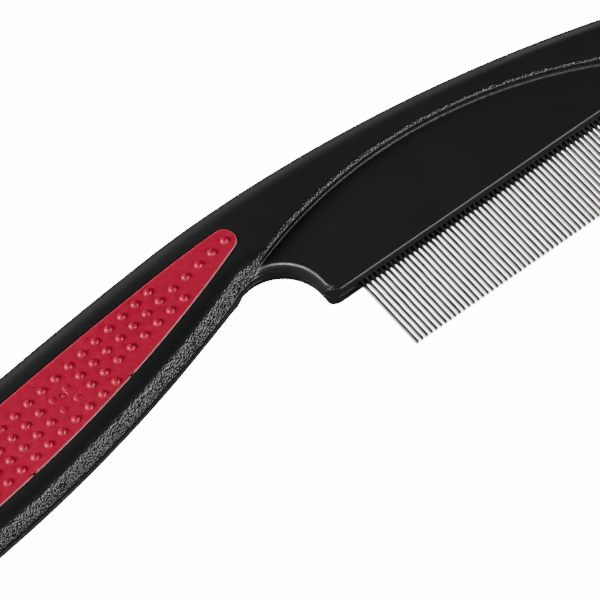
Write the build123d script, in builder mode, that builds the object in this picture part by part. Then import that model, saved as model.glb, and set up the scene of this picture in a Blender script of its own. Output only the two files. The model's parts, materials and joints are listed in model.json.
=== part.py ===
"""Flea comb: a knife-shaped grooming comb with one row of fine steel pins.

Two black half shells meet on the mid-plane. They clamp a moulded bar that holds the pins, and each
shell carries a soft grip let into its outer face.

Frame: +X runs along the pin row from the butt to the nose, +Y from the pin tips to the spine, and
+Z from the back grip to the front grip. The origin is under the centre of the bounding box, level
with the lowest bumps of the back grip. All sizes are in millimetres.
"""

import os
from math import asin, atan2, cos, degrees, hypot, radians, sin, sqrt

from build123d import *

# ---- Outline, drawn on the mid-plane ------------------------------------------------------------
HALF_LENGTH = 105.0  # butt to nose is 210
HALF_DEPTH = 20.25  # pin tips to the crest of the spine is 40.5
CREST_X = 8.7
CREST_RADIUS = 190.0
CREST_RUN = 15.2  # how far the tight crest arc reaches back over the handle
LIP_Y = -5.35  # the wall that the pins leave
NOSE_RADIUS = 4.6
BUTT_RADIUS = 8.9
BELLY_RADIUS = 267.0
BELLY_X = -86.6  # lowest point of the handle's under side
BELLY_Y = -10.7
NOTCH = (6.0, -2.3)  # centre of the finger notch
HEEL_RADIUS = 2.5

# ---- Thickness ----------------------------------------------------------------------------------
HALF_THICK = 4.2
FLANK_RADIUS = 4.0  # rounding of every outer flank
PANEL_HALF = 2.5  # half thickness of the flat head panel
PANEL_CREST = (37.5, 11.7)  # highest point of the step between the panel and the spine
PANEL_RADIUS = 88.0
PANEL_BEVEL = 13.0  # degrees, lean of that step
STEP_ROUND = 1.2  # rounding of the step's top edge
STEP_FOOT = 0.3  # rounding where it meets the panel

# ---- Pins and the bar that holds them -----------------------------------------------------------
PIN_COUNT = 72
PINS_PER_SET = 4
PIN_PITCH = 1.0
PIN_RADIUS = 0.35
PIN_TIP = 0.25  # rounding of each tip
FIRST_PIN_X = 20.1
PIN_ROOT_Y = -0.6
BAR_MARGIN = 1.5  # bar length beyond the end pins
BAR_TOP_Y = 0.6
BAR_SHOULDER_Y = -3.2
BAR_HALF = 1.3
TONGUE_HALF = 0.55
TONGUE_END_Y = LIP_Y + 0.15

# ---- Grips --------------------------------------------------------------------------------------
GRIP_MARGIN = 5.0  # from the outline to the grip, along the back of the handle
GRIP_BELLY_MARGIN = 4.6  # the same along its under side
GRIP_TIP_RADIUS = 2.2
GRIP_END_RADIUS = 5.2
GRIP_DEPTH = 1.2  # how far a grip is let into its shell
GRIP_PROUD = 0.2
GRIP_EDGE = 0.15
BUMP_RADIUS = 0.75
BUMP_HEIGHT = 0.5
BUMP_PITCH_X = 3.14
BUMP_PITCH_Y = 2.55
BUMP_COLUMNS = 33
BUMP_SIDE_ROWS = 2
BUMP_CLEARANCE = 1.35  # least distance from a bump's centre to the grip's edge
FIRST_BUMP = (5.7, 12.9)
GRIP_ANGLE = 9.3  # degrees, slant of the bump rows
PINCH_X = -1.8  # nearer the tip only the middle row is kept
STUD_RADIUS = 1.4
STUD_HEAD_RADIUS = 2.0
STUD_HEAD = 0.6

# ---- Inside of the handle -----------------------------------------------------------------------
CAVITY_HALF = 1.8
CAVITY_MARGIN = 1.6  # how far the cavity reaches past the grip's edge
RIB = 1.2
PEG_RADIUS = 1.2
PEG_LENGTH = 1.8
PEG_CLEARANCE = 0.05
SOCKET_DEPTH = 2.0
BOSS_RADIUS = 2.6

# ---- Hanging hole -------------------------------------------------------------------------------
HANG_RADIUS = 2.5
HANG_COLLAR = 1.6  # wall left around the hole
HANG_EDGE = 0.6
HANG_OFFSET = 0.5  # from the centre of the rounded butt

MID_Z = HALF_THICK + GRIP_PROUD + BUMP_HEIGHT
mid = Plane.XY.offset(MID_Z)
ABOVE = 6.0  # clears every outer face
OVERRUN = 1.0  # how far a cut runs past an open face

# ---- Points and circles that set the outline out -----------------------------------------------
def bearing(centre, point):
    """Angle of a point seen from a centre, in degrees from +X."""
    return degrees(atan2(point[1] - centre[1], point[0] - centre[0])) % 360

def distance(a, b):
    """Distance between two plan points."""
    return hypot(a[0] - b[0], a[1] - b[1])

def polar(centre, radius, angle):
    """Plan point on a circle."""
    return (centre[0] + radius * cos(radians(angle)), centre[1] + radius * sin(radians(angle)))

def run_in_radius(joint, angle, end, end_radius):
    """Radius of the arc that leaves a joint square to an angle and runs into an end circle."""
    out_x, out_y = end[0] - joint[0], end[1] - joint[1]
    rise = out_x * cos(radians(angle)) + out_y * sin(radians(angle))
    return (end_radius**2 - out_x**2 - out_y**2) / (2 * (rise + end_radius))

def crossing(first, first_radius, second, second_radius):
    """The right-hand crossing of two circles, looking from the first centre to the second."""
    span = distance(first, second)
    along = (first_radius**2 - second_radius**2 + span**2) / (2 * span)
    across = sqrt(first_radius**2 - along**2)
    turn = bearing(first, second)
    foot = polar(first, along, turn)
    return polar(foot, across, turn - 90)

def arc_between(centre, radius, start, end):
    """Arc about a centre from one bearing to another, the short way round."""
    sweep_angle = (end - start + 180) % 360 - 180
    return CenterArc(centre, radius, start, sweep_angle)

CREST = (CREST_X, HALF_DEPTH)
CREST_CENTRE = (CREST_X, HALF_DEPTH - CREST_RADIUS)
CREST_ANGLE = 90 + degrees(asin(CREST_RUN / CREST_RADIUS))
JOINT = polar(CREST_CENTRE, CREST_RADIUS, CREST_ANGLE)
NOSE = (HALF_LENGTH - NOSE_RADIUS, LIP_Y + NOSE_RADIUS)
SPINE_RADIUS = run_in_radius(CREST, 90, NOSE, NOSE_RADIUS)
SPINE_CENTRE = (CREST_X, HALF_DEPTH - SPINE_RADIUS)
BELLY_CENTRE = (BELLY_X, BELLY_Y + BELLY_RADIUS)
BUTT_X = BUTT_RADIUS - HALF_LENGTH
BUTT_DROP = sqrt((BELLY_RADIUS - BUTT_RADIUS) ** 2 - (BUTT_X - BELLY_X) ** 2)
BUTT = (BUTT_X, BELLY_CENTRE[1] - BUTT_DROP)
BACK_RADIUS = run_in_radius(JOINT, CREST_ANGLE, BUTT, BUTT_RADIUS)
BACK_CENTRE = polar(JOINT, -BACK_RADIUS, CREST_ANGLE)
NOTCH_RADIUS = distance(BELLY_CENTRE, NOTCH) - BELLY_RADIUS
HEEL_X = NOTCH[0] + NOTCH_RADIUS
HEEL_ANGLE = degrees(asin((NOTCH[1] - LIP_Y) / NOTCH_RADIUS))  # where the notch reaches the lip
PANEL_CENTRE = (PANEL_CREST[0], PANEL_CREST[1] - PANEL_RADIUS)

GRIP_TIP = crossing(
    CREST_CENTRE,
    CREST_RADIUS - GRIP_MARGIN - GRIP_TIP_RADIUS,
    BELLY_CENTRE,
    BELLY_RADIUS - GRIP_BELLY_MARGIN - GRIP_TIP_RADIUS,
)

GRIP_END = crossing(
    BELLY_CENTRE,
    BELLY_RADIUS - GRIP_BELLY_MARGIN - GRIP_END_RADIUS,
    BACK_CENTRE,
    BACK_RADIUS - GRIP_MARGIN - GRIP_END_RADIUS,
)

# ---- Plan shapes shared by the pieces -----------------------------------------------------------
with BuildSketch() as outline:
    with BuildLine():
        to_spine = bearing(SPINE_CENTRE, NOSE)
        arc_between(NOSE, NOSE_RADIUS, -90, to_spine)
        arc_between(SPINE_CENTRE, SPINE_RADIUS, to_spine, 90)
        arc_between(CREST_CENTRE, CREST_RADIUS, 90, CREST_ANGLE)
        to_butt = bearing(BACK_CENTRE, BUTT)
        arc_between(BACK_CENTRE, BACK_RADIUS, CREST_ANGLE, to_butt)
        to_belly = bearing(BELLY_CENTRE, BUTT)
        arc_between(BUTT, BUTT_RADIUS, to_butt, to_belly)
        to_notch = bearing(BELLY_CENTRE, NOTCH)
        arc_between(BELLY_CENTRE, BELLY_RADIUS, to_belly, to_notch)
        arc_between(NOTCH, NOTCH_RADIUS, to_notch - 180, -HEEL_ANGLE)
        Line(polar(NOTCH, NOTCH_RADIUS, -HEEL_ANGLE), (NOSE[0], LIP_Y))
    make_face()

with BuildSketch() as heel_corner:
    with Locations((HEEL_X + HEEL_RADIUS, LIP_Y)):
        Rectangle(2 * HEEL_RADIUS, HEEL_RADIUS, align=(Align.MAX, Align.MIN))
    with Locations((HEEL_X + HEEL_RADIUS, LIP_Y + HEEL_RADIUS)):
        Circle(HEEL_RADIUS, mode=Mode.SUBTRACT)

with BuildSketch() as grip_plan:
    with BuildLine():
        tip_top = bearing(CREST_CENTRE, GRIP_TIP)
        tip_low = bearing(BELLY_CENTRE, GRIP_TIP)
        end_top = bearing(BACK_CENTRE, GRIP_END)
        end_low = bearing(BELLY_CENTRE, GRIP_END)
        arc_between(GRIP_TIP, GRIP_TIP_RADIUS, tip_low, 0)
        arc_between(GRIP_TIP, GRIP_TIP_RADIUS, 0, tip_top)
        arc_between(CREST_CENTRE, CREST_RADIUS - GRIP_MARGIN, tip_top, CREST_ANGLE)
        arc_between(BACK_CENTRE, BACK_RADIUS - GRIP_MARGIN, CREST_ANGLE, end_top)
        arc_between(GRIP_END, GRIP_END_RADIUS, end_top, end_low)
        arc_between(BELLY_CENTRE, BELLY_RADIUS - GRIP_BELLY_MARGIN, end_low, tip_low)
    make_face()

def on_axis(x):
    """Plan point on the middle line of the grip."""
    top = BACK_CENTRE[1] + sqrt((BACK_RADIUS - GRIP_MARGIN) ** 2 - (x - BACK_CENTRE[0]) ** 2)
    reach = BELLY_RADIUS - GRIP_BELLY_MARGIN
    low = BELLY_CENTRE[1] - sqrt(reach**2 - (x - BELLY_CENTRE[0]) ** 2)
    return (x, (top + low) / 2)

def bump_centres():
    """Centres of the grip's bumps: a slanted grid, kept wherever it clears the grip's edge."""
    reach_low = BELLY_RADIUS - GRIP_BELLY_MARGIN - BUMP_CLEARANCE
    reach_top = BACK_RADIUS - GRIP_MARGIN - BUMP_CLEARANCE
    centres = []
    for column in range(BUMP_COLUMNS):
        for row in range(-BUMP_SIDE_ROWS, BUMP_SIDE_ROWS + 1):
            start = polar(FIRST_BUMP, -column * BUMP_PITCH_X, GRIP_ANGLE)
            centre = polar(start, row * BUMP_PITCH_Y, GRIP_ANGLE + 90)
            clear = distance(centre, BELLY_CENTRE) < reach_low
            clear = clear and distance(centre, BACK_CENTRE) < reach_top
            clear = clear and centre[0] > GRIP_END[0]
            if clear and (row == 0 or centre[0] < PINCH_X):
                centres.append(centre)
    return centres

STUD_X = (-4.0, -24.0, -44.0, -64.0, -84.0)
PEG_X = (-14.0, -34.0, -54.0, -74.0)
RIB_X = (-19.0, -39.0, -59.0, -79.0)
stud_places = [on_axis(x) for x in STUD_X]
peg_places = [on_axis(x) for x in PEG_X]
HANG = (BUTT[0] - HANG_OFFSET, BUTT[1])

# ---- Half shells --------------------------------------------------------------------------------
def half_shell():
    """The front shell without its sockets: flank, panel, grip recess, cavity and bar slot."""
    with BuildPart() as shell:
        with BuildSketch(mid):
            add(outline.sketch)
        extrude(amount=HALF_THICK)
        rim = shell.faces().sort_by(Axis.Z)[-1].edges()
        fillet(rim, FLANK_RADIUS)
        # flat head panel with its leaning step up to the spine
        with BuildSketch(mid.offset(PANEL_HALF)):
            with Locations(PANEL_CENTRE):
                Circle(PANEL_RADIUS)
        extrude(amount=ABOVE, taper=-PANEL_BEVEL, mode=Mode.SUBTRACT)
        step = shell.faces().filter_by(GeomType.CONE)[0]
        fillet(step.edges().sort_by(Axis.Z)[-1], STEP_ROUND)
        step = shell.faces().filter_by(GeomType.CONE)[0]
        fillet(step.edges().sort_by(Axis.Z)[0], STEP_FOOT)
        with BuildSketch(mid):
            add(heel_corner.sketch)
        extrude(amount=ABOVE, mode=Mode.SUBTRACT)
        # recess for the grip
        with BuildSketch(mid.offset(HALF_THICK - GRIP_DEPTH)):
            add(grip_plan.sketch)
        extrude(amount=ABOVE, mode=Mode.SUBTRACT)
        # cavity under the grip, split by ribs
        with BuildSketch(mid):
            add(grip_plan.sketch)
            offset(amount=CAVITY_MARGIN)
            with Locations(HANG):
                Circle(HANG_RADIUS + HANG_COLLAR, mode=Mode.SUBTRACT)
            with Locations(*[on_axis(x) for x in RIB_X]):
                Rectangle(RIB, 4 * BUTT_RADIUS, mode=Mode.SUBTRACT)
            with Locations(*peg_places):
                Circle(BOSS_RADIUS, mode=Mode.SUBTRACT)
        extrude(amount=CAVITY_HALF, mode=Mode.SUBTRACT)
        # holes that the grip's studs pass through
        with BuildSketch(mid):
            with Locations(*stud_places):
                Circle(STUD_RADIUS)
        extrude(amount=ABOVE, mode=Mode.SUBTRACT)
        # slot for the pin bar and its tongue
        with BuildSketch(mid):
            with Locations((BAR_X, BAR_TOP_Y)):
                Rectangle(BAR_LENGTH, BAR_TOP_Y - BAR_SHOULDER_Y, align=(Align.CENTER, Align.MAX))
        extrude(amount=BAR_HALF, mode=Mode.SUBTRACT)
        with BuildSketch(mid):
            with Locations((BAR_X, BAR_TOP_Y)):
                Rectangle(BAR_LENGTH, BAR_TOP_Y - LIP_Y + OVERRUN, align=(Align.CENTER, Align.MAX))
        extrude(amount=TONGUE_HALF, mode=Mode.SUBTRACT)
        # hanging hole, its mouth rounded
        with BuildSketch(mid):
            with Locations(HANG):
                Circle(HANG_RADIUS)
        extrude(amount=ABOVE, mode=Mode.SUBTRACT)
        mouth = shell.edges().filter_by(GeomType.CIRCLE).sort_by_distance((*HANG, MID_Z + HALF_THICK))[0]
        fillet(mouth, HANG_EDGE)
    return shell.part

ROW_LENGTH = (PIN_COUNT - 1) * PIN_PITCH
BAR_X = FIRST_PIN_X + ROW_LENGTH / 2
BAR_LENGTH = ROW_LENGTH + 2 * BAR_MARGIN

plain_half = half_shell()

with BuildPart() as front_shell:
    add(plain_half)
    with BuildSketch(mid):
        with Locations(*peg_places):
            Circle(PEG_RADIUS + PEG_CLEARANCE)
    extrude(amount=SOCKET_DEPTH, mode=Mode.SUBTRACT)

with BuildPart() as back_shell:
    add(mirror(plain_half, about=mid))
    with BuildSketch(mid):
        with Locations(*peg_places):
            Circle(PEG_RADIUS)
    extrude(amount=PEG_LENGTH)

# ---- Pin bar and pins ---------------------------------------------------------------------------
def pin_x(index):
    """Position of one pin along the row."""
    return FIRST_PIN_X + index * PIN_PITCH

across_row = Plane((0, PIN_ROOT_Y, MID_Z), x_dir=(1, 0, 0), z_dir=(0, -1, 0))

with BuildPart() as pin_bar:
    with BuildSketch(mid):
        with Locations((BAR_X, BAR_TOP_Y)):
            Rectangle(BAR_LENGTH, BAR_TOP_Y - BAR_SHOULDER_Y, align=(Align.CENTER, Align.MAX))
    extrude(amount=BAR_HALF, both=True)
    with BuildSketch(mid):
        with Locations((BAR_X, BAR_TOP_Y)):
            Rectangle(BAR_LENGTH, BAR_TOP_Y - TONGUE_END_Y, align=(Align.CENTER, Align.MAX))
    extrude(amount=TONGUE_HALF, both=True)
    with BuildSketch(across_row):
        with Locations(*[(pin_x(index), 0) for index in range(PIN_COUNT)]):
            Circle(PIN_RADIUS)
    extrude(amount=PIN_ROOT_Y - TONGUE_END_Y + OVERRUN, mode=Mode.SUBTRACT)

PIN_LENGTH = HALF_DEPTH + PIN_ROOT_Y
pin_sets = []
for first in range(0, PIN_COUNT, PINS_PER_SET):
    with BuildPart() as pins:
        with BuildSketch(across_row):
            with Locations(*[(pin_x(first + index), 0) for index in range(PINS_PER_SET)]):
                Circle(PIN_RADIUS)
        extrude(amount=PIN_LENGTH)
        fillet(pins.faces().group_by(Axis.Y)[0].edges(), PIN_TIP)
    pin_sets.append(pins.part)

# ---- Grips --------------------------------------------------------------------------------------
RISE = (BUMP_RADIUS**2 + BUMP_HEIGHT**2) / (2 * BUMP_HEIGHT)  # radius of a bump's dome
DOME_Z = MID_Z + HALF_THICK + GRIP_PROUD + BUMP_HEIGHT - RISE

with BuildPart() as front_grip:
    with BuildSketch(mid.offset(HALF_THICK - GRIP_DEPTH)):
        add(grip_plan.sketch)
    extrude(amount=GRIP_DEPTH + GRIP_PROUD)
    fillet(front_grip.faces().sort_by(Axis.Z)[-1].edges(), GRIP_EDGE)
    with Locations(*[(x, y, DOME_Z) for x, y in bump_centres()]):
        Sphere(RISE)
    with BuildSketch(mid.offset(CAVITY_HALF)):
        with Locations(*stud_places):
            Circle(STUD_RADIUS)
    extrude(amount=HALF_THICK - CAVITY_HALF)
    with BuildSketch(mid.offset(CAVITY_HALF)):
        with Locations(*stud_places):
            Circle(STUD_HEAD_RADIUS)
    extrude(amount=-STUD_HEAD)

with BuildPart() as back_grip:
    add(mirror(front_grip.part, about=mid))

# ---- Output -------------------------------------------------------------------------------------
pieces = {
    "front_shell": front_shell.part,
    "back_shell": back_shell.part,
    "pin_bar": pin_bar.part,
    "front_grip": front_grip.part,
    "back_grip": back_grip.part,
}
for number, pin_set in enumerate(pin_sets, start=1):
    pieces[f"pins_{number:02d}"] = pin_set

os.makedirs("parts", exist_ok=True)
for name, piece in pieces.items():
    piece.label = name
    export_step(piece, f"parts/{name}.step")
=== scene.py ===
import json
import math

import bpy
import numpy as np
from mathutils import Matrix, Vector, geometry


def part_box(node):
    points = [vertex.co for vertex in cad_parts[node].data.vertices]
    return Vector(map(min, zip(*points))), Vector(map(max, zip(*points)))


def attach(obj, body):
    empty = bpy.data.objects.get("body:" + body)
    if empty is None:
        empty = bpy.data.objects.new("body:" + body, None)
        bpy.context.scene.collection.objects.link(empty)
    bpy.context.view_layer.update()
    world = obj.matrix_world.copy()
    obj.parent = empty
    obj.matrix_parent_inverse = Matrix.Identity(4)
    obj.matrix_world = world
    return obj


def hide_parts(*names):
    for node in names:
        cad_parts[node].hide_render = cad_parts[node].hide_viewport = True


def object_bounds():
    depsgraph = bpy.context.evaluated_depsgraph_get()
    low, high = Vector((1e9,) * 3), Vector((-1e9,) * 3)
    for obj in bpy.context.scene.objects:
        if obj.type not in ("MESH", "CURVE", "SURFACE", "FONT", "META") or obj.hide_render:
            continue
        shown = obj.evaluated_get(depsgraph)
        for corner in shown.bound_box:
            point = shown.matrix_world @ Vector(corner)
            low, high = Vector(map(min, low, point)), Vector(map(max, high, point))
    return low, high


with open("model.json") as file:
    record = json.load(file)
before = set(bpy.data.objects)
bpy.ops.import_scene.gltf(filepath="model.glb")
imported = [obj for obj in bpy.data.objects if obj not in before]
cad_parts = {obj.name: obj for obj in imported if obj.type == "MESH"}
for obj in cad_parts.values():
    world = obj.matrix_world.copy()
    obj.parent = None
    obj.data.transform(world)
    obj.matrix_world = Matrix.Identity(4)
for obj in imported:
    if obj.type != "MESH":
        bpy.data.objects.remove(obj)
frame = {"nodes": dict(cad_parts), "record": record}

CAD_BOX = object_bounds()
rng = np.random.default_rng(7)
MM = 0.001


# ---- Sizes in millimetres, from the frame where it states them ----------------------------------
def node_box(name):
    """The lowest and the highest corner of a CAD node."""
    low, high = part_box(name)
    return [v / MM for v in low], [v / MM for v in high]


shell_high = node_box("front_shell")[1]
bar_low, bar_high = node_box("pin_bar")
hang = frame["record"]["mounts"][0]

MID_Z = (bar_low[2] + bar_high[2]) / 2
HALF = shell_high[2] - MID_Z
HALF_LENGTH = shell_high[0]
HALF_DEPTH = shell_high[1]
BAR_RECESS = 0.15
LIP_Y = bar_low[1] - BAR_RECESS
HANG_POINT = (hang["pos_m"][0] / MM, hang["pos_m"][1] / MM)
HANG_R = hang["dims"]["r_mm"]
HANG_MOUTH_R = 0.62

# the outline's driving sizes
CREST_X, CREST_R, CREST_RUN = 8.7, 190.0, 15.2
NOSE_R, BUTT_R, HEEL_R = 4.6, 8.9, 2.5
BELLY_X, BELLY_Y, BELLY_R = -86.6, -10.7, 267.0
NOTCH = (6.0, -2.3)

# heights above the mid-plane and the rounds between them
FLANK_R = 4.0
PANEL = 2.5
PANEL_CREST, PANEL_R = (37.5, 11.37), 88.0
STEP_FOOT, STEP_WALL, STEP_BLEND = 0.1, 1.05, 0.18
PLATE_EDGE, PLATE_OVERLAP, PLATE_BLEND, PLATE_FALL = 0.28, 1.5, 0.06, 9
LOWEST_TOP = 0.2

# where on X the head begins, and the ridge that runs on from its edge
HEAD_FROM = 3
RIDGE_FROM, RIDGE_TO, RIDGE_WIDTH = -18, 9.5, 3

# the wall of the notch, which leans back and has fine terraces, and where both begin and fade
NOTCH_WALL, NOTCH_WALL_X, NOTCH_WALL_DROP = 1.5, 2.6, 3
NOTCH_LEAN, LEAN_BEGINS_Y, LEAN_FADES_INSET = 2.4, (-4.6, -2.6), (0.5, 0.8)
TERRACE_INSET, TERRACE_DEPTH, TERRACE_START, TERRACE_PITCH = 0.62, 0.1, 0.2, 0.72
TERRACES_FADE_X = (9.5, 12.5)

# sizes that change along the comb: places on X, then the size at each
STEP_REACH = (6, 14, 30, 55, 80), (1.35, 1.3, 1.15, 1.0, 0.9)
PANEL_BLEND = (6, 20), (0.3, 0.2)
PLATE_TOP = (-16, -8, 0, 2.5, 8), (1.15, 1.3, 1.45, 2.1, PANEL)
PLATE_START = (-18, -12, -6, 3), (0.6, 0.12, 0.05, 0)
TOP_LINE = (-100, -50, 0, 100), (0, 5, 12, 12)
FOOT_SHINE = (8, 30), (1, 1.5)
# painted highlight along the step's foot: places on X, then its strength at each
FOOT_HIGHLIGHT_STRENGTH = (0, 1, 4.5, 9, 20, 40), (0, 1, 1, 0, 0.03, 0.14)

# painted highlight round the notch: bearings from its centre, then its strength at each
NOTCH_HIGHLIGHT_STRENGTH = (5, 35, 62, 90, 112, 135, 160), (0, 1, 0.75, 0.12, 0.6, 1, 0)

# depths along two rims: distances from the rim, then the depth at each
GROOVE_PROFILE = (-0.03, 0.0, 0.04, 0.09, 0.16), (0.8, 0.14, 0.05, 0.015, 0)
GRIP_RIM_PROFILE = (0.02, 0.03, 0.05, 0.09, 0.14, 0.2, 0.3), (0.9, 0.22, 0.15, 0.09, 0.04, 0.012, 0)

# the skirt: how high it ends above the mid-plane and how far in it turns, at the seam and at the bar
SEAM_HEIGHT, SEAM_IN, SEAM_LEAST = 0.06, 0.07, 0.05
SLOT_HEIGHT, SLOT_IN = 0.55, 0.35

# the grip, its moulding gate, two nicks and its bumps
GRIP_MARGIN, GRIP_BELLY_MARGIN = 5.0, 4.6
GRIP_TIP_R, GRIP_END_R = 2.2, 5.2
GRIP_PROUD, GRIP_DEPTH = 0.2, 0.8
# a real burr along the grip's rim, and a painted highlight line along it
BURR_HEIGHT, BURR_LINE, RIM_HIGHLIGHT_LINE = 0.035, (0.1, 0.06), (0.08, 0.1)
GATE = (-32.6, 6.0)
GATE_RING_R, GATE_RING_DEPTH, GATE_DOT_R, GATE_DOT_DEPTH, GATE_LINE = 2.5, 0.035, 0.5, 0.2, 0.1
GATE_REACH, GATE_BUMP_SHARE = 3.2, 0.45
NICKS = ((-21.4, 2.3), (-44.8, -2.5))
NICK_R, NICK_DEPTH = 0.3, 0.7
BUMP_START, BUMP_TURN = (5.7, 12.9), 9.3
BUMP_COLUMNS, BUMP_COLUMN_PITCH, BUMP_SIDE_ROWS, BUMP_ROW_PITCH = 33, 3.14, 2, 2.55
BUMP_MARGIN, BUMP_LONE_X = 1.35, -1.8
BUMP_HEIGHT, BUMP_BALL_R, BUMP_SPREAD, BUMP_EDGE = 0.5, 0.8125, 0.93, 0.95
BUMP_SINK, BUMP_BLEND = 0.3, 0.05

# the pins
PIN_PITCH, PIN_SIDES, PIN_SPANS = 1.0, 24, 5
PIN_THICKENING = 1.2
PIN_ROOT_DEPTH, PIN_STRAIGHT_END = 0.5, 0.6
PIN_TIP_LENGTH, PIN_TIP_STEPS, PIN_TIP_FLAT, PIN_TIP_END = 0.28, 8, 0.2, 0.16
PIN_LEAN, PIN_LIFT = 0.012, 0.01


# ---- Outline ------------------------------------------------------------------------------------
def bearing(centre, point):
    return math.degrees(math.atan2(point[1] - centre[1], point[0] - centre[0])) % 360


def dist(a, b):
    return math.hypot(a[0] - b[0], a[1] - b[1])


def polar(centre, radius, angle):
    a = math.radians(angle)
    return (centre[0] + radius * math.cos(a), centre[1] + radius * math.sin(a))


def run_in(joint, angle, end, end_r):
    """Radius of the arc that leaves a joint, its normal there at an angle, and runs into a circle."""
    across, up = end[0] - joint[0], end[1] - joint[1]
    rise = across * math.cos(math.radians(angle)) + up * math.sin(math.radians(angle))
    return (end_r**2 - across**2 - up**2) / (2 * (rise + end_r))


def crossing(a, a_radius, b, b_radius):
    """Where two circles cross, to the right of the line from the first centre to the second."""
    span = dist(a, b)
    along = (a_radius**2 - b_radius**2 + span**2) / (2 * span)
    turn = bearing(a, b)
    return polar(polar(a, along, turn), math.sqrt(a_radius**2 - along**2), turn - 90)


CREST_C = (CREST_X, HALF_DEPTH - CREST_R)
CREST_A = 90 + math.degrees(math.asin(CREST_RUN / CREST_R))
JOINT = polar(CREST_C, CREST_R, CREST_A)
NOSE = (HALF_LENGTH - NOSE_R, LIP_Y + NOSE_R)
SPINE_R = run_in((CREST_X, HALF_DEPTH), 90, NOSE, NOSE_R)
SPINE_C = (CREST_X, HALF_DEPTH - SPINE_R)
BELLY_C = (BELLY_X, BELLY_Y + BELLY_R)
BUTT_X = BUTT_R - HALF_LENGTH
BUTT = (BUTT_X, BELLY_C[1] - math.sqrt((BELLY_R - BUTT_R) ** 2 - (BUTT_X - BELLY_X) ** 2))
BACK_R = run_in(JOINT, CREST_A, BUTT, BUTT_R)
BACK_C = polar(JOINT, -BACK_R, CREST_A)
NOTCH_R = dist(BELLY_C, NOTCH) - BELLY_R
HEEL_X = NOTCH[0] + NOTCH_R
HEEL = (HEEL_X + HEEL_R, LIP_Y + HEEL_R)
PANEL_C = (PANEL_CREST[0], PANEL_CREST[1] - PANEL_R)
GRIP_CREST_R = CREST_R - GRIP_MARGIN
GRIP_BACK_R = BACK_R - GRIP_MARGIN
GRIP_BELLY_R = BELLY_R - GRIP_BELLY_MARGIN
GRIP_TIP = crossing(CREST_C, GRIP_CREST_R - GRIP_TIP_R, BELLY_C, GRIP_BELLY_R - GRIP_TIP_R)
GRIP_END = crossing(BELLY_C, GRIP_BELLY_R - GRIP_END_R, BACK_C, GRIP_BACK_R - GRIP_END_R)


def arc(centre, radius, start, end):
    """A piece of outline: centre, radius, start bearing, sweep."""
    return ("arc", centre, radius, start, (end - start + 180) % 360 - 180)


def line(a, b):
    return ("line", a, b)


to_spine, to_butt = bearing(SPINE_C, NOSE), bearing(BACK_C, BUTT)
to_belly, to_notch = bearing(BELLY_C, BUTT), bearing(BELLY_C, NOTCH)
OUTLINE = [
    arc(NOSE, NOSE_R, -90, to_spine),
    arc(SPINE_C, SPINE_R, to_spine, 90),
    arc(CREST_C, CREST_R, 90, CREST_A),
    arc(BACK_C, BACK_R, CREST_A, to_butt),
    arc(BUTT, BUTT_R, to_butt, to_belly),
    arc(BELLY_C, BELLY_R, to_belly, to_notch),
    arc(NOTCH, NOTCH_R, to_notch - 180, 0),
    line((HEEL_X, NOTCH[1]), (HEEL_X, HEEL[1])),
    arc(HEEL, HEEL_R, 180, 270),
    line((HEEL[0], LIP_Y), (NOSE[0], LIP_Y)),
]
tip_low, tip_top = bearing(BELLY_C, GRIP_TIP), bearing(CREST_C, GRIP_TIP)
end_top, end_low = bearing(BACK_C, GRIP_END), bearing(BELLY_C, GRIP_END)
GRIP = [
    arc(GRIP_TIP, GRIP_TIP_R, tip_low, 0),
    arc(GRIP_TIP, GRIP_TIP_R, 0, tip_top),
    arc(CREST_C, GRIP_CREST_R, tip_top, CREST_A),
    arc(BACK_C, GRIP_BACK_R, CREST_A, end_top),
    arc(GRIP_END, GRIP_END_R, end_top, end_low),
    arc(BELLY_C, GRIP_BELLY_R, end_low, tip_low),
]


def walk(path, step, most_turn=3):
    """Points and outward normals along a closed, anticlockwise path of arcs and lines."""
    points, normals = [], []
    for piece in path:
        if piece[0] == "arc":
            _, centre, radius, start, sweep = piece
            length = abs(math.radians(sweep)) * radius
            count = max(2, math.ceil(length / step), int(abs(sweep) / most_turn) + 1)
            side = 1 if sweep > 0 else -1
            for i in range(count):
                a = math.radians(start + sweep * i / count)
                points.append((centre[0] + radius * math.cos(a), centre[1] + radius * math.sin(a)))
                normals.append((side * math.cos(a), side * math.sin(a)))
        else:
            _, a, b = piece
            length = dist(a, b)
            count = max(1, math.ceil(length / step))
            across, up = b[0] - a[0], b[1] - a[1]
            for i in range(count):
                points.append((a[0] + across * i / count, a[1] + up * i / count))
                normals.append((up / length, -across / length))
    return np.array(points), np.array(normals)


def distance_from(centre, points):
    return np.hypot(points[:, 0] - centre[0], points[:, 1] - centre[1])


def inset_of(path, points):
    """Distance from points to a closed path, for points inside it."""
    best = np.full(len(points), np.inf)
    for piece in path:
        if piece[0] == "arc":
            _, centre, radius, start, sweep = piece
            angle = np.degrees(np.arctan2(points[:, 1] - centre[1], points[:, 0] - centre[0]))
            turned = (angle - start) % 360 if sweep > 0 else (start - angle) % 360
            beside = (turned <= abs(sweep)) | (turned > 359.9)
            off_arc = np.abs(distance_from(centre, points) - radius)
            best = np.where(beside, np.minimum(best, off_arc), best)
            for end in (start, start + sweep):
                best = np.minimum(best, distance_from(polar(centre, radius, end), points))
        else:
            a, b = np.array(piece[1]), np.array(piece[2])
            along = np.clip(((points - a) @ (b - a)) / ((b - a) @ (b - a)), 0, 1)
            best = np.minimum(best, np.hypot(*(points - a - along[:, None] * (b - a)).T))
    return best


def circle(centre, radius, angles):
    return np.stack([centre[0] + radius * np.cos(angles), centre[1] + radius * np.sin(angles)], 1)


def full_turn(step):
    """Angles round a circle, in radians, from a step in degrees."""
    return np.radians(np.arange(0, 360, step))


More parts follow.
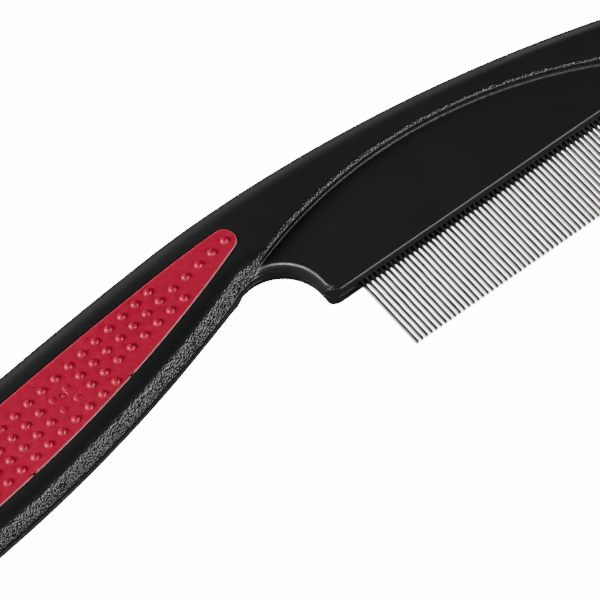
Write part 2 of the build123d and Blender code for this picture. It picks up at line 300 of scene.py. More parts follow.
# ---- Profiles -----------------------------------------------------------------------------------
def smooth_min(a, b, blend):
    share = np.clip(0.5 + 0.5 * (b - a) / blend, 0, 1)
    return b + (a - b) * share - blend * share * (1 - share)


def smooth_max(a, b, blend):
    return -smooth_min(-a, -b, blend)


def rising(x, span):
    """A smooth ramp from 0 at the start of a span to 1 at its end."""
    start, end = span
    share = np.clip((x - start) / (end - start), 0, 1)
    return share * share * (3 - 2 * share)


def fading(x, span):
    return 1 - rising(x, span)


def quarter_round(inset, radius):
    """Height gained over a rounded edge, from 0 at the edge to the radius at an inset of the radius."""
    return np.sqrt(np.maximum(radius**2 - (radius - np.clip(inset, 0, radius)) ** 2, 0))


def bell(x, centre, width):
    return np.exp(-(((x - centre) / width) ** 2))


# ---- Surface meshes -----------------------------------------------------------------------------
class Net:
    """Plan points and constraint edges, triangulated into a surface."""

    def __init__(self):
        self.points, self.edges, self.count = [], [], 0

    def add(self, points, closed=True, keep=None):
        """Adds a line of points, closed or open, without the points that are not kept."""
        points = np.asarray(points, float)
        total = len(points)
        if keep is None:
            keep = np.ones(total, bool)
        index = np.full(total, -1)
        index[keep] = self.count + np.arange(int(keep.sum()))
        self.points.extend(points[keep].tolist())
        self.count += int(keep.sum())
        for i in range(total if closed else total - 1):
            a, b = index[i], index[(i + 1) % total]
            if a >= 0 and b >= 0:
                self.edges.append((int(a), int(b)))

    def solve(self):
        """Plan points and triangles, all anticlockwise."""
        vectors = [Vector(p) for p in self.points]
        out = geometry.delaunay_2d_cdt(vectors, self.edges, [], 0, 1e-5)
        plan = np.array([[v.x, v.y] for v in out[0]])
        triangles = np.array([list(face) for face in out[2] if len(face) == 3])
        to_second = plan[triangles[:, 1]] - plan[triangles[:, 0]]
        to_third = plan[triangles[:, 2]] - plan[triangles[:, 0]]
        area = to_second[:, 0] * to_third[:, 1] - to_second[:, 1] * to_third[:, 0]
        triangles[area < 0] = triangles[area < 0][:, ::-1]
        return plan, triangles[np.abs(area) > 1e-9]


def inside(polygon, points):
    """True for the points inside a closed polygon."""
    x, y = points[:, 0], points[:, 1]
    odd = np.zeros(len(points), bool)
    for (x0, y0), (x1, y1) in zip(polygon, np.roll(polygon, -1, axis=0)):
        hit = (y0 > y) != (y1 > y)
        with np.errstate(divide="ignore", invalid="ignore"):
            odd ^= hit & (x < (x1 - x0) * (y - y0) / (y1 - y0) + x0)
    return odd


def make_object(name, verts, faces, masks, back=False):
    """A smooth object in the row frame from mm points above the mid-plane, mirrored for the back."""
    verts = np.array(verts, float)
    if back:
        verts[:, 2] *= -1
        faces = [tuple(reversed(face)) for face in faces]
    verts[:, 2] += MID_Z
    mesh = bpy.data.meshes.new(name)
    mesh.from_pydata((verts * MM).tolist(), [], [tuple(int(i) for i in face) for face in faces])
    for key, values in masks.items():
        layer = mesh.attributes.new(key, "FLOAT", "POINT")
        layer.data.foreach_set("value", np.asarray(values, np.float32))
    mesh.validate()
    mesh.polygons.foreach_set("use_smooth", [True] * len(mesh.polygons))
    mesh.update()
    obj = bpy.data.objects.new(name, mesh)
    bpy.context.scene.collection.objects.link(obj)
    return obj


# ---- Shells -------------------------------------------------------------------------------------
# lines of mesh points: insets from the outline, distances past the step, out from the grip and hole
OUTLINE_SPACING, GROOVE_SPACING, GRIP_SPACING = 0.8, 0.9, 0.7
EDGE_INSETS = (
    0, 0.01, 0.02, 0.035, 0.055, 0.08, 0.11, 0.14, 0.175, 0.21, 0.25,
    0.29, 0.335, 0.38, 0.43, 0.49, 0.56, 0.63, 0.72, 0.86, 1.0, 1.15,
)
FLANK_INSETS = (1.4, 1.75, 2.15, 2.6, 3.1, 3.6, 4.0, 4.2, 4.6)
STEP_LINES = (
    -0.4, -0.25, -0.15, -0.08, -0.02, 0.04, 0.1, 0.16, 0.22, 0.24, 0.28, 0.34, 0.42,
    0.52, 0.65, 0.8, 1.0, 1.2, 1.45, 1.7, 1.95, 2.2, 2.5, 2.8, 3.1, 3.5,
)
GROOVE_LINES = (0.3, 0.16, 0.09, 0.04, 0.0, -0.03)
HANG_LINES = (0, 0.03, 0.1, 0.2, 0.32, 0.46, 0.62, 0.9)
SKIRT_SHARES = (0.8, 0.5, 0.2)
STEP_ANGLES = np.radians(np.linspace(50, 112, 170))
RING_ANGLE_STEP, BUMP_ANGLE_STEP = 7.5, 18


def past_step(points):
    """Distance from the foot of the step, positive towards the spine."""
    return distance_from(PANEL_C, points) - PANEL_R


def flank_height(inset):
    """Full-round flank: height above the mid-plane at an inset from the outline."""
    return HALF - FLANK_R + quarter_round(inset, FLANK_R)


def step_reach(x):
    """How far the step's rounded top edge reaches back: wide by the notch, narrow by the nose."""
    return np.interp(x, *STEP_REACH)


def step_height(past, x):
    """Panel floor, then a steep climb that rounds over into the face of the spine."""
    wall_top = PANEL + STEP_WALL
    climb = np.where(past < STEP_FOOT, PANEL + STEP_WALL * past / STEP_FOOT, wall_top)
    share = np.clip((past - STEP_FOOT) / step_reach(x), 0, 1)
    climb = climb + np.where(past > STEP_FOOT, (HALF - wall_top) * quarter_round(share, 1), 0)
    climb = np.where(share >= 1, HALF + 1, climb)
    return smooth_max(np.full_like(past, PANEL), climb, STEP_BLEND)


def plate_height(inset, x):
    """The head's upright edge, which runs out as a fine ridge along the under side of the handle."""
    start = np.interp(x, *PLATE_START)
    plate = np.interp(x, *PLATE_TOP) - PLATE_EDGE + quarter_round(inset - start, PLATE_EDGE)
    return np.where(inset < start, plate - (start - inset) * PLATE_FALL, plate)


def shell_height(points):
    """Height over plan points, with their insets from the outline and distances past the step."""
    x, y = points[:, 0], points[:, 1]
    inset = inset_of(OUTLINE, points)
    past = past_step(points)
    height = smooth_min(flank_height(inset), step_height(past, x), np.interp(x, *PANEL_BLEND))
    # upright along the lip and round the heel, leaning back round the notch
    from_notch = distance_from(NOTCH, points) - NOTCH_R
    in_notch = (from_notch < NOTCH_WALL) & (x > NOTCH_WALL_X) & (y > NOTCH[1] - NOTCH_WALL_DROP)
    lean = np.where(in_notch, rising(y, LEAN_BEGINS_Y), 0)
    plate = plate_height(inset, x) - NOTCH_LEAN * lean * fading(inset, LEAN_FADES_INSET)
    by_belly = distance_from(BELLY_C, points) > BELLY_R - RIDGE_WIDTH
    on_ridge = (x > RIDGE_FROM) & (x < RIDGE_TO) & by_belly
    on_plate = on_ridge | ((past < PLATE_OVERLAP) & (x > HEAD_FROM))
    height = np.where(on_plate, smooth_max(height, plate, PLATE_BLEND), height)
    # fine terraces that follow the wall of the notch
    terraced = lean * fading(x, TERRACES_FADE_X) * (inset < TERRACE_INSET)
    wave = np.sin(2 * math.pi * (height - TERRACE_START) / TERRACE_PITCH)
    return height + terraced * TERRACE_DEPTH * wave, inset, past


def inset_ring(base, outward, inset):
    """The outline moved in, and which of its points did not fall across a tight corner."""
    ring = base - outward * inset
    return ring, inset_of(OUTLINE, ring) > inset - 1e-3


def shell_net(base, outward, rim, rim_outward):
    """Lines of points that are close together where the shell curves sharply."""
    net = Net()
    for inset in EDGE_INSETS:
        ring, keep = inset_ring(base, outward, inset)
        net.add(ring, keep=keep)
    for inset in FLANK_INSETS:
        ring, keep = inset_ring(base, outward, inset)
        net.add(ring, keep=keep & (past_step(ring) > -0.8))
    for past in STEP_LINES:
        points = circle(PANEL_C, PANEL_R + past, STEP_ANGLES)
        keep = inside(base, points) & (inset_of(OUTLINE, points) > 0.05)
        net.add(points, closed=False, keep=keep)
    for out in GROOVE_LINES:
        net.add(rim + rim_outward * out)
    for out in HANG_LINES:
        net.add(circle(HANG_POINT, HANG_R + out, full_turn(RING_ANGLE_STEP)))
    return net


# spans on which the plastic's zones begin and fade: insets, distances past the step, shares or X
GRAIN_BEGINS, GRAIN_FADES, GRAIN_OFF_STEP = (0.0, 0.15), (0.85, 2.25), (0.0, 0.3)
TOP_GRAIN_FADES_X, TOP_GRAIN_LEAST = (-45, -10), 0.2
BEVEL_BEGINS, BEVEL_FADES_SHARE, BEVEL_INSET = (0.16, 0.28), (0.45, 0.9), 0.6
SMOOTHED_BEGINS, SMOOTHED_FADES, SMOOTHED_X = (-60, -50), (-0.15, 0.05), 4
WALL_BEGINS, WALL_FADES, WALL_INSET = (-0.03, 0.03), (0.13, 0.24), 0.4
POLISH_FADES = (2.6, 4.2)

# painted highlight lines along an edge: the middle of each and its width
LIP_LINE, FOOT_LINE, NOTCH_LINE = (0.14, 0.2), (-0.08, 0.11), (0.76, 0.1)


def shell_masks(points, inset, past):
    """How far the plastic is coarse, smoothed, an edge under a painted highlight, the step's wall under
    painted shade, a rim under a brighter painted highlight, and polished.
    """
    x, y = points[:, 0], points[:, 1]
    on_top = y > np.interp(x, *TOP_LINE)
    on_flank = rising(inset, GRAIN_BEGINS) * fading(inset, GRAIN_FADES) * rising(past, GRAIN_OFF_STEP)
    top_share = TOP_GRAIN_LEAST + (1 - TOP_GRAIN_LEAST) * fading(x, TOP_GRAIN_FADES_X)
    on_flank = on_flank * np.where(on_top, top_share, 1)
    up_bevel = past / (STEP_FOOT + step_reach(x))
    on_bevel = rising(past, BEVEL_BEGINS) * fading(up_bevel, BEVEL_FADES_SHARE) * (inset > BEVEL_INSET)
    smoothed = fading(past, SMOOTHED_FADES) * rising(past, SMOOTHED_BEGINS)
    lip_highlight = bell(inset, *LIP_LINE) * (past < 0.5) * (x > 2)
    foot = bell(past, *FOOT_LINE) * (inset > 0.25)
    # painted highlight: the rim of the notch on both sides of its top, and the first of the step's foot
    round_notch = np.degrees(np.arctan2(y - NOTCH[1], x - NOTCH[0]))
    notch_rim_highlight = np.interp(round_notch, *NOTCH_HIGHLIGHT_STRENGTH) * bell(inset, *NOTCH_LINE) * (past < 0.1) * (y < 6)
    foot_highlight = foot * np.interp(x, *FOOT_HIGHLIGHT_STRENGTH)
    return {
        "coarse": np.clip(np.maximum(on_flank, on_bevel), 0, 1),
        "smoothed": np.where((past < 0) & (x > SMOOTHED_X), smoothed, 0),
        # edge: a painted highlight line in the colour, and a glossier finish
        "edge": np.maximum(lip_highlight, foot * np.interp(x, *FOOT_SHINE)),
        # wall: painted shade in the colour, and a rougher, duller finish
        "wall": rising(past, WALL_BEGINS) * fading(past, WALL_FADES) * (inset > WALL_INSET),
        "painted_highlight": np.maximum(notch_rim_highlight, foot_highlight),
        "polished": fading(inset, POLISH_FADES) * (past > 0) * np.where(on_top, 0, 1),
    }


def open_edges_of(faces):
    """Edges that only one face has, in the direction of that face."""
    found = {}
    for face in faces:
        for edge in zip(face, face[1:] + face[:1]):
            if edge[::-1] in found:
                del found[edge[::-1]]
            else:
                found[edge] = True
    return list(found)


def at_bar_slot(x, y):
    on_lip = abs(y - LIP_Y) < 0.02
    return on_lip and bar_low[0] < x < bar_high[0]


def add_skirt(verts, faces, base, outward):
    """Closes a shell from its open edges down to the seam, except where the pin bar shows."""
    columns = {}

    def column(top):
        """Adds the points below a top point once, and returns the first one's index."""
        if top not in columns:
            x, y, z = verts[top]
            slot = at_bar_slot(x, y)
            low = SLOT_HEIGHT if slot else SEAM_HEIGHT
            if dist((x, y), HANG_POINT) < HANG_R + 0.2:
                # the hole's wall goes straight down to the mid-plane
                low, away = 0.0, (0, 0)
            else:
                away = outward[int(np.argmin(np.hypot(base[:, 0] - x, base[:, 1] - y)))]
            verts[top][2] = z = max(z, low + SEAM_LEAST)
            columns[top] = len(verts)
            for share in SKIRT_SHARES:
                verts.append([x, y, low + (z - low) * share])
            verts.append([x, y, low])
            inner = SLOT_IN if slot else SEAM_IN
            verts.append([x - away[0] * inner, y - away[1] * inner, low if slot else 0.0])
        return columns[top]

    for a, b in open_edges_of(faces):
        below_a, below_b = column(a), column(b)
        faces.append((a, below_a, below_b, b))
        for k in range(len(SKIRT_SHARES) + 1):
            faces.append((below_a + k, below_a + k + 1, below_b + k + 1, below_b + k))


def build_shell(name, back):
    base, outward = walk(OUTLINE, OUTLINE_SPACING)
    rim, rim_outward = walk(GRIP, GROOVE_SPACING)
    plan, triangles = shell_net(base, outward, rim, rim_outward).solve()
    centres = plan[triangles].mean(axis=1)
    outside_hole = distance_from(HANG_POINT, centres) > HANG_R - 0.01
    triangles = triangles[inside(base, centres) & outside_hole]
    height, inset, past = shell_height(plan)
    # groove that the grip sits in
    from_grip = inset_of(GRIP, plan) * np.where(inside(rim, plan), -1, 1)
    height = height - np.interp(from_grip, *GROOVE_PROFILE)
    height = np.where(from_grip < -0.02, HALF - GRIP_DEPTH, height)
    # rounded mouth of the hanging hole
    from_hole = distance_from(HANG_POINT, plan) - HANG_R
    height = height - (HANG_MOUTH_R - quarter_round(from_hole, HANG_MOUTH_R))
    verts = np.column_stack([plan, np.maximum(height, LOWEST_TOP)]).tolist()
    faces = [tuple(triangle) for triangle in triangles]
    add_skirt(verts, faces, base, outward)
    below = len(verts) - len(plan)
    masks = {}
    for key, values in shell_masks(plan, inset, past).items():
        masks[key] = np.concatenate([values, np.full(below, 1 if key == "smoothed" else 0)])
    return make_object(name, verts, faces, masks, back)


# ---- Grips --------------------------------------------------------------------------------------
GRIP_INSETS = (0.02, 0.03, 0.05, 0.09, 0.14, 0.2, 0.3, 0.45, 0.8)
BUMP_RINGS = (0.12, 0.26, 0.38, 0.48, 0.56, 0.62, 0.67, 0.72, 0.78, 0.9)
GATE_RINGS = (2.3, 2.4, 2.5, 2.6, 2.7, 0.2, 0.3, 0.42, 0.5, 0.58, 0.66, 0.8)


def bump_centres():
    """Centres of the bumps, in columns from the grip's tip. The first columns have one bump each."""
    for column in range(BUMP_COLUMNS):
        middle = polar(BUMP_START, -column * BUMP_COLUMN_PITCH, BUMP_TURN)
        for row in range(-BUMP_SIDE_ROWS, BUMP_SIDE_ROWS + 1):
            centre = polar(middle, row * BUMP_ROW_PITCH, BUMP_TURN + 90)
            clear_below = dist(centre, BELLY_C) < GRIP_BELLY_R - BUMP_MARGIN
            clear_above = dist(centre, BACK_C) < GRIP_BACK_R - BUMP_MARGIN
            if clear_below and clear_above and centre[0] > GRIP_END[0]:
                if row == 0 or centre[0] < BUMP_LONE_X:
                    yield centre


def bump_height(plan, centres):
    """Domes on the face of the grip, lower near the moulding gate."""
    height = np.zeros(len(plan))
    flat = BUMP_BALL_R - BUMP_HEIGHT
    for centre in centres:
        from_centre = distance_from(centre, plan)
        near = from_centre < BUMP_EDGE
        share = GATE_BUMP_SHARE if dist(centre, GATE) < GATE_REACH else 1.0
        ball = BUMP_BALL_R**2 - (from_centre[near] / BUMP_SPREAD) ** 2
        dome = np.sqrt(np.maximum(ball, 0)) - flat
        dome = smooth_max(np.maximum(dome, -BUMP_SINK), 0.0, BUMP_BLEND) * share
        height[near] = np.maximum(height[near], dome)
    return height


def build_grip(name, back):
    net = Net()
    rim, rim_outward = walk(GRIP, GRIP_SPACING)
    for inset in GRIP_INSETS:
        net.add(rim - rim_outward * inset)
    centres = list(bump_centres())
    for centre in centres:
        net.add([centre], closed=False)
        for radius in BUMP_RINGS:
            net.add(circle(centre, radius, full_turn(BUMP_ANGLE_STEP)))
    for radius in GATE_RINGS:
        net.add(circle(GATE, radius, full_turn(RING_ANGLE_STEP)))
    plan, triangles = net.solve()
    grip_edge = rim - rim_outward * GRIP_INSETS[0]
    triangles = triangles[inside(grip_edge, plan[triangles].mean(axis=1))]
    inset = inset_of(GRIP, plan)
    from_gate = distance_from(GATE, plan)
    height = HALF + GRIP_PROUD - np.interp(inset, *GRIP_RIM_PROFILE)
    height = height - GATE_RING_DEPTH * bell(from_gate, GATE_RING_R, GATE_LINE)
    height = height - GATE_DOT_DEPTH * bell(from_gate, GATE_DOT_R, GATE_LINE)
    height = height + BURR_HEIGHT * bell(inset, *BURR_LINE)
    for nick in NICKS:
        height = height - NICK_DEPTH * bell(distance_from(nick, plan), 0, NICK_R)
    bump = bump_height(plan, centres)
    # rim: where the painted highlight line runs along the grip's edge
    masks = {"bump": np.clip(bump / BUMP_HEIGHT, 0, 1), "rim": bell(inset, *RIM_HIGHLIGHT_LINE)}
    verts = np.column_stack([plan, height + bump])
    return make_object(name, verts, [tuple(triangle) for triangle in triangles], masks, back)


# ---- Pins ---------------------------------------------------------------------------------------
def pin_stations(root_y, tip_y):
    """Places along a pin and the share of its radius at each, with a rounded tip."""
    straight = np.linspace(root_y, tip_y + PIN_STRAIGHT_END, PIN_SPANS + 1)
    stations = [(y, 1.0) for y in straight]
    for k in range(1, PIN_TIP_STEPS):
        a = math.radians(90 * k / PIN_TIP_STEPS)
        y = tip_y + PIN_TIP_LENGTH - PIN_TIP_LENGTH * math.sin(a)
        stations.append((y, PIN_TIP_FLAT + (1 - PIN_TIP_FLAT) * math.cos(a)))
    stations.append((tip_y, PIN_TIP_END))
    return stations


def build_pins(node):
    low, high = node_box(node)
    radius = (high[2] - low[2]) / 2
    drawn_radius = radius * PIN_THICKENING
    count = int(round((high[0] - low[0] - 2 * radius) / PIN_PITCH)) + 1
    root_y, tip_y = LIP_Y + PIN_ROOT_DEPTH, low[1]
    stations = pin_stations(root_y, tip_y)
    verts, faces, along, side = [], [], [], []
    for pin in range(count):
        x = low[0] + radius + pin * PIN_PITCH
        lean = rng.normal(0, PIN_LEAN)
        lift = rng.normal(0, PIN_LIFT)
        first = len(verts)
        for y, share in stations:
            away = (root_y - y) / (root_y - tip_y)
            for j in range(PIN_SIDES):
                a = 2 * math.pi * j / PIN_SIDES
                across = drawn_radius * share * math.cos(a)
                up = drawn_radius * share * math.sin(a)
                verts.append((x + lean * away + across, y, lift * away + up))
                along.append(away)
                side.append(math.cos(a))
        for station in range(len(stations) - 1):
            ring = first + station * PIN_SIDES
            for j in range(PIN_SIDES):
                a, b = ring + j, ring + (j + 1) % PIN_SIDES
                faces.append((a, b, b + PIN_SIDES, a + PIN_SIDES))
        last = first + (len(stations) - 1) * PIN_SIDES
        faces.append(tuple(range(last, last + PIN_SIDES)))
    return make_object(node + "_wire", verts, faces, {"along": along, "side": side})


# ---- Materials ----------------------------------------------------------------------------------
PLASTIC_DARK, PLASTIC_LIGHT = (0.0065, 0.0075, 0.0075, 1), (0.0115, 0.0125, 0.012, 1)
PLASTIC_SPECK, PLASTIC_SMOOTHED = (0.02, 0.022, 0.021, 1), (0.018, 0.020, 0.0175, 1)
# painted highlight: the edge colour, laid on lines along the lip and the step's foot
# painted shade: the wall colour, laid on the step's steep wall
PLASTIC_EDGE_HIGHLIGHT, PLASTIC_WALL_SHADE = (0.03, 0.031, 0.031, 1), (0.0015, 0.0018, 0.0015, 1)
# painted highlight: a near-white colour laid on the notch's rim and the step's foot
PLASTIC_PAINTED_HIGHLIGHT = (0.70, 0.72, 0.72, 1)
BAR_DARK, BAR_LIGHT = (0.008, 0.008, 0.008, 1), (0.016, 0.016, 0.016, 1)
RED_DARK, RED_LIGHT = (0.40, 0.004, 0.030, 1), (0.49, 0.008, 0.046, 1)
RED_BLOTCH, RED_SPECK = (0.60, 0.018, 0.06, 1), (0.30, 0.0, 0.012, 1)
# painted highlight: the pale colour along the grip's rim
RED_RIM_HIGHLIGHT, RED_BUMP = (0.78, 0.24, 0.27, 1), (0.60, 0.012, 0.045, 1)
WIRE_DARK, WIRE_LIGHT = (0.125, 0.119, 0.110, 1), (0.165, 0.157, 0.145, 1)
# painted light on the wire, by side round the pin: a highlight stripe, a dark shade line and a shaded far
# side
WIRE_HIGHLIGHT_STRIPE, WIRE_SHADE_LINE = (0.85, 0.82, 0.77, 1), (0.008, 0.008, 0.008, 1)
WIRE_SHADE, WIRE_TIP = (0.006, 0.006, 0.006, 1), (0.12, 0.12, 0.12, 1)
BOARD_DARK, BOARD_LIGHT = (0.90, 0.90, 0.90, 1), (0.93, 0.93, 0.93, 1)


class Paint:
    """A small helper for building one node material."""

    def __init__(self, name):
        self.mat = bpy.data.materials.new(name)
        self.mat.use_nodes = True
        self.tree = self.mat.node_tree
        self.bsdf = self.tree.nodes["Principled BSDF"]
        self.place = self.node("ShaderNodeTexCoord").outputs["Object"]

    def node(self, kind, **values):
        made = self.tree.nodes.new(kind)
        for key, value in values.items():
            setattr(made, key, value)
        return made

    def feed(self, socket, value):
        if isinstance(value, bpy.types.NodeSocket):
            self.tree.links.new(value, socket)
        else:
            socket.default_value = value

    def set(self, name, value):
        self.feed(self.bsdf.inputs[name], value)

    def noise(self, size_mm, detail=3.0, stretch=None):
        made = self.node("ShaderNodeTexNoise")
        place = self.place
        if stretch:
            mapping = self.node("ShaderNodeMapping")
            self.feed(mapping.inputs["Vector"], self.place)
            mapping.inputs["Scale"].default_value = stretch
            place = mapping.outputs[0]
        self.feed(made.inputs["Vector"], place)
        made.inputs["Scale"].default_value = 1 / (size_mm * MM)
        made.inputs["Detail"].default_value = detail
        made.inputs["Roughness"].default_value = 0.55
        return made.outputs["Fac"]

    def cells(self, size_mm):
        made = self.node("ShaderNodeTexVoronoi")
        self.feed(made.inputs["Vector"], self.place)
        made.inputs["Scale"].default_value = 1 / (size_mm * MM)
        return made.outputs["Distance"]

    def mask(self, key):
        return self.node("ShaderNodeAttribute", attribute_name=key).outputs["Fac"]

    def math(self, operation, a, b=0.0):
        made = self.node("ShaderNodeMath", operation=operation)
        self.feed(made.inputs[0], a)
        self.feed(made.inputs[1], b)
        return made.outputs[0]

    def times(self, a, b):
        return self.math("MULTIPLY", a, b)

    def plus(self, value, mask, amount):
        """A value with an amount added where a mask is 1."""
        return self.math("ADD", value, self.times(mask, amount))

    def spread(self, value, low, high, out_low, out_high):
        """Takes a value from one range to another, and holds it at both ends."""
        made = self.node("ShaderNodeMapRange")
        for socket, given in zip(made.inputs, (value, low, high, out_low, out_high)):
            self.feed(socket, given)
        return made.outputs[0]

    def mix(self, amount, a, b):
        made = self.node("ShaderNodeMix", data_type="RGBA")
        self.feed(made.inputs[0], amount)
        self.feed(made.inputs[6], a)
        self.feed(made.inputs[7], b)
        return made.outputs[2]

    def coat(self, tone, mask, share, colour):
        """A tone with a share of another colour over it where a mask is 1."""
        return self.mix(self.times(mask, share), tone, colour)

    def bump(self, height, depth_mm, strength=1.0, onto=None):
        made = self.node("ShaderNodeBump")
        self.feed(made.inputs["Strength"], strength)
        made.inputs["Distance"].default_value = depth_mm * MM
        self.feed(made.inputs["Height"], height)
        if onto is not None:
            self.feed(made.inputs["Normal"], onto)
        return made.outputs["Normal"]


def black_plastic():
    p = Paint("black_moulded_plastic")
    coarse, smoothed, edge = p.mask("coarse"), p.mask("smoothed"), p.mask("edge")
    wall, painted_highlight, polished = p.mask("wall"), p.mask("painted_highlight"), p.mask("polished")
    tone = p.mix(p.noise(9.0, 4.0), PLASTIC_DARK, PLASTIC_LIGHT)
    tone = p.mix(p.spread(p.noise(0.35, 2.0), 0.55, 0.75, 0, 0.35), tone, PLASTIC_SPECK)
    tone = p.coat(tone, smoothed, 0.35, PLASTIC_SMOOTHED)
    # painted highlight: a lighter line along the lip's edge and the step's foot
    tone = p.coat(tone, edge, 0.35, PLASTIC_EDGE_HIGHLIGHT)
    # painted shade: the step's steep wall darkened
    tone = p.coat(tone, wall, 0.85, PLASTIC_WALL_SHADE)
    # painted highlight: near-white on the notch's rim and the step's foot, broken up by noise
    uneven = p.spread(p.noise(0.55), 0.38, 0.62, 0.35, 1.0)
    p.set("Base Color", p.coat(tone, painted_highlight, uneven, PLASTIC_PAINTED_HIGHLIGHT))

    rough = p.spread(coarse, 0, 1, 0.44, 0.25)
    rough = p.math("ADD", rough, p.spread(p.noise(14.0), 0.3, 0.7, -0.03, 0.04))
    rough = p.plus(rough, smoothed, -0.06)
    rough = p.plus(rough, edge, -0.16)
    rough = p.plus(rough, wall, 0.25)
    smooth_flank = p.times(polished, p.math("SUBTRACT", 1.0, coarse))
    p.set("Roughness", p.plus(rough, smooth_flank, -0.16))
    p.set("IOR", 1.5)
    gleam = p.math("ADD", p.times(coarse, 0.3), 0.5)
    p.set("Specular IOR Level", p.times(gleam, p.spread(wall, 0, 1, 1, 0.08)))

    cell = p.cells(0.42)
    domes = p.times(p.times(cell, cell), -1.0)
    leather = p.bump(p.plus(domes, p.noise(0.3, 2.0), 0.25), 0.22, coarse)
    matt = p.times(p.math("SUBTRACT", 1.0, p.times(smoothed, 0.75)), 0.6)
    p.set("Normal", p.bump(p.noise(0.16), 0.02, matt, leather))
    return p.mat


def bar_plastic():
    p = Paint("black_bar_plastic")
    p.set("Base Color", p.mix(p.noise(3.0), BAR_DARK, BAR_LIGHT))
    p.set("Roughness", p.spread(p.noise(1.0), 0.3, 0.7, 0.42, 0.55))
    p.set("Normal", p.bump(p.noise(0.3), 0.02, 0.5))
    return p.mat


def red_rubber():
    p = Paint("red_soft_rubber")
    rim, bump = p.mask("rim"), p.mask("bump")
    tone = p.mix(p.noise(16.0, 4.0), RED_DARK, RED_LIGHT)
    tone = p.mix(p.spread(p.noise(0.9), 0.5, 0.8, 0, 0.5), tone, RED_BLOTCH)
    tone = p.mix(p.spread(p.noise(0.35, 2.0), 0.55, 0.8, 0, 0.35), tone, RED_SPECK)
    # painted highlight: a pale line along the rim, over the moulded burr
    tone = p.coat(tone, rim, 0.6, RED_RIM_HIGHLIGHT)
    p.set("Base Color", p.coat(tone, bump, 0.2, RED_BUMP))
    rough = p.spread(p.noise(5.0), 0.3, 0.7, 0.40, 0.50)
    p.set("Roughness", p.plus(rough, bump, -0.26))
    p.set("IOR", 1.43)
    p.set("Subsurface Weight", 0.05)
    p.set("Subsurface Radius", (0.0012, 0.0002, 0.0002))
    fine = p.bump(p.noise(0.22), 0.018, 0.55)
    p.set("Normal", p.bump(p.noise(2.6, 2.0), 0.03, 0.4, fine))
    return p.mat


def bright_wire():
    p = Paint("bright_steel_wire")
    along, side = p.mask("along"), p.mask("side")
    drawn = p.noise(0.5, stretch=(3.0, 0.08, 3.0))
    from_line = p.math("ABSOLUTE", p.math("ADD", side, 0.5))
    tone = p.mix(drawn, WIRE_DARK, WIRE_LIGHT)
    # painted highlight and shade round each wire: a bright stripe, a dark line along it and a dark far
    # side, standing in for how the lamps fall on a round wire
    tone = p.mix(p.spread(side, -0.46, -0.34, 0, 1), tone, WIRE_HIGHLIGHT_STRIPE)
    tone = p.mix(p.spread(from_line, 0.08, 0.19, 0.97, 0), tone, WIRE_SHADE_LINE)
    tone = p.mix(p.spread(side, 0.2, 0.34, 0, 1), tone, WIRE_SHADE)
    p.set("Base Color", p.mix(p.spread(along, 0.95, 1.0, 0, 0.9), tone, WIRE_TIP))
    p.set("Metallic", 1.0)
    p.set("Roughness", p.spread(drawn, 0.3, 0.7, 0.14, 0.24))
    p.set("Normal", p.bump(drawn, 0.006, 0.5))
    return p.mat


def pale_board():
    p = Paint("pale_board")
    p.set("Base Color", p.mix(p.noise(40.0), BOARD_DARK, BOARD_LIGHT))
    p.set("Roughness", p.spread(p.noise(2.0), 0.3, 0.7, 0.75, 0.85))
    p.set("Emission Color", (1, 1, 1, 1))
    p.set("Emission Strength", 14.0)
    return p.mat


# ---- Pieces -------------------------------------------------------------------------------------
def dress(obj, material, node):
    obj.data.materials.append(material)
    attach(obj, "root")
    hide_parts(node)


def repaint(obj, material):
    """A CAD node that keeps its shape and gets a better material."""
    obj.data.materials.clear()
    obj.data.materials.append(material)


black, red, steel, bar_black = black_plastic(), red_rubber(), bright_wire(), bar_plastic()
for side, back in (("front", False), ("back", True)):
    dress(build_shell(side + "_shell_moulding", back), black, side + "_shell")
    dress(build_grip(side + "_grip_inlay", back), red, side + "_grip")
for node_name in sorted(frame["nodes"]):
    if node_name.startswith("pins_"):
        dress(build_pins(node_name), steel, node_name)
repaint(frame["nodes"]["pin_bar"], bar_black)


# ---- Floor, lights and camera, in metres --------------------------------------------------------
FLOOR_SIZE, FLOOR_CELLS, FLOOR_GAP = 3.0, 24, 0.0002
TARGET = Vector((10.0, -1.75, MID_Z)) * MM
TOWARDS_CAMERA = Vector((-0.3192, -0.4005, 0.8589)).normalized()
CAMERA_REACH, CAMERA_LENS, CAMERA_SENSOR = 0.7179, 261.56, 36.0
WORLD_COLOUR, WORLD_STRENGTH = (0.85, 0.86, 0.88, 1), 0.027


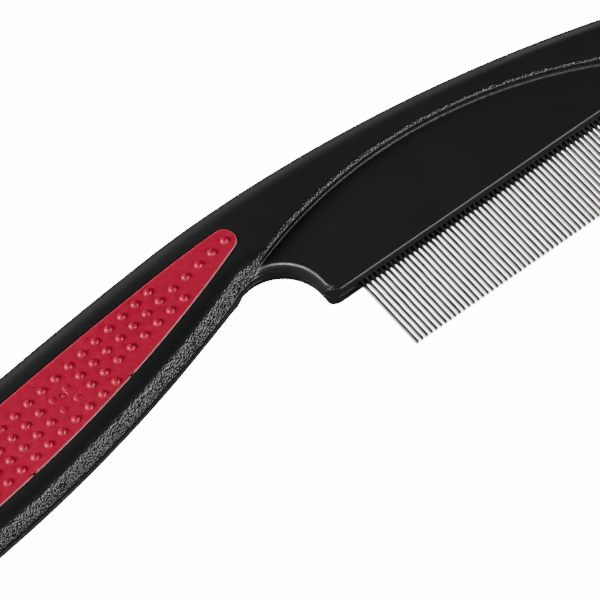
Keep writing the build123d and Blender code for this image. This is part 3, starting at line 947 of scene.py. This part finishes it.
def add_floor():
    verts, faces = [], []
    row = FLOOR_CELLS + 1
    for i in range(row):
        for j in range(row):
            x, y = (i / FLOOR_CELLS - 0.5) * FLOOR_SIZE, (j / FLOOR_CELLS - 0.5) * FLOOR_SIZE
            verts.append((x, y, CAD_BOX[0][2] - FLOOR_GAP))
    for i in range(FLOOR_CELLS):
        for j in range(FLOOR_CELLS):
            a = i * row + j
            faces.append((a, a + row, a + row + 1, a + 1))
    mesh = bpy.data.meshes.new("floor")
    mesh.from_pydata(verts, [], faces)
    obj = bpy.data.objects.new("floor", mesh)
    bpy.context.scene.collection.objects.link(obj)
    obj.data.materials.append(pale_board())
    # a light table: bright in itself, and kept out of the object's reflections
    obj.visible_diffuse = obj.visible_glossy = obj.visible_shadow = obj.visible_transmission = False


def place_towards(obj, away, reach):
    """Puts a light or the camera at a reach from the object, facing it, its width level."""
    obj.location = TARGET + away * reach
    obj.rotation_mode = "QUATERNION"
    obj.rotation_quaternion = (-away).to_track_quat("-Z", "Y")
    bpy.context.scene.collection.objects.link(obj)


def soft_light(name, towards, reach, width, height, power):
    data = bpy.data.lights.new(name, "AREA")
    data.shape = "RECTANGLE"
    data.size, data.size_y = width, height
    data.energy = power
    obj = bpy.data.objects.new(name, data)
    place_towards(obj, Vector(towards).normalized(), reach)
    return obj


def add_lights():
    soft_light("left_softbox", (-0.86, 0.30, 0.40), reach=1.1, width=0.8, height=0.45, power=24.0)
    soft_light("right_softbox", (0.62, -0.72, 0.13), reach=1.0, width=1.3, height=0.46, power=8.5)
    soft_light("right_strip", (0.56, -0.76, 0.30), reach=1.0, width=1.0, height=0.12, power=3.4)
    soft_light("lip_strip", (0.30, -0.94, 0.12), reach=1.0, width=0.35, height=0.4, power=3.5)
    notch = soft_light("notch_light", (-0.65, -0.57, 0.51), reach=0.9, width=0.25, height=0.25, power=1.5)
    notch.visible_diffuse = False
    soft_light("back_glow", (0.24, 0.93, 0.14), reach=1.0, width=1.0, height=0.8, power=1.9)
    fill = soft_light("camera_fill", (-0.32, -0.40, 0.86), reach=1.2, width=0.5, height=0.5, power=0.9)
    fill.visible_glossy = False


def add_world():
    world = bpy.data.worlds.new("studio")
    world.use_nodes = True
    background = world.node_tree.nodes["Background"]
    background.inputs["Color"].default_value = WORLD_COLOUR
    background.inputs["Strength"].default_value = WORLD_STRENGTH
    bpy.context.scene.world = world


def add_camera():
    data = bpy.data.cameras.new("camera")
    data.sensor_width = CAMERA_SENSOR
    data.lens = CAMERA_LENS
    data.clip_start, data.clip_end = 0.01, 10.0
    obj = bpy.data.objects.new("camera", data)
    place_towards(obj, TOWARDS_CAMERA, CAMERA_REACH)
    bpy.context.scene.camera = obj


add_floor()
add_lights()
add_world()
add_camera()
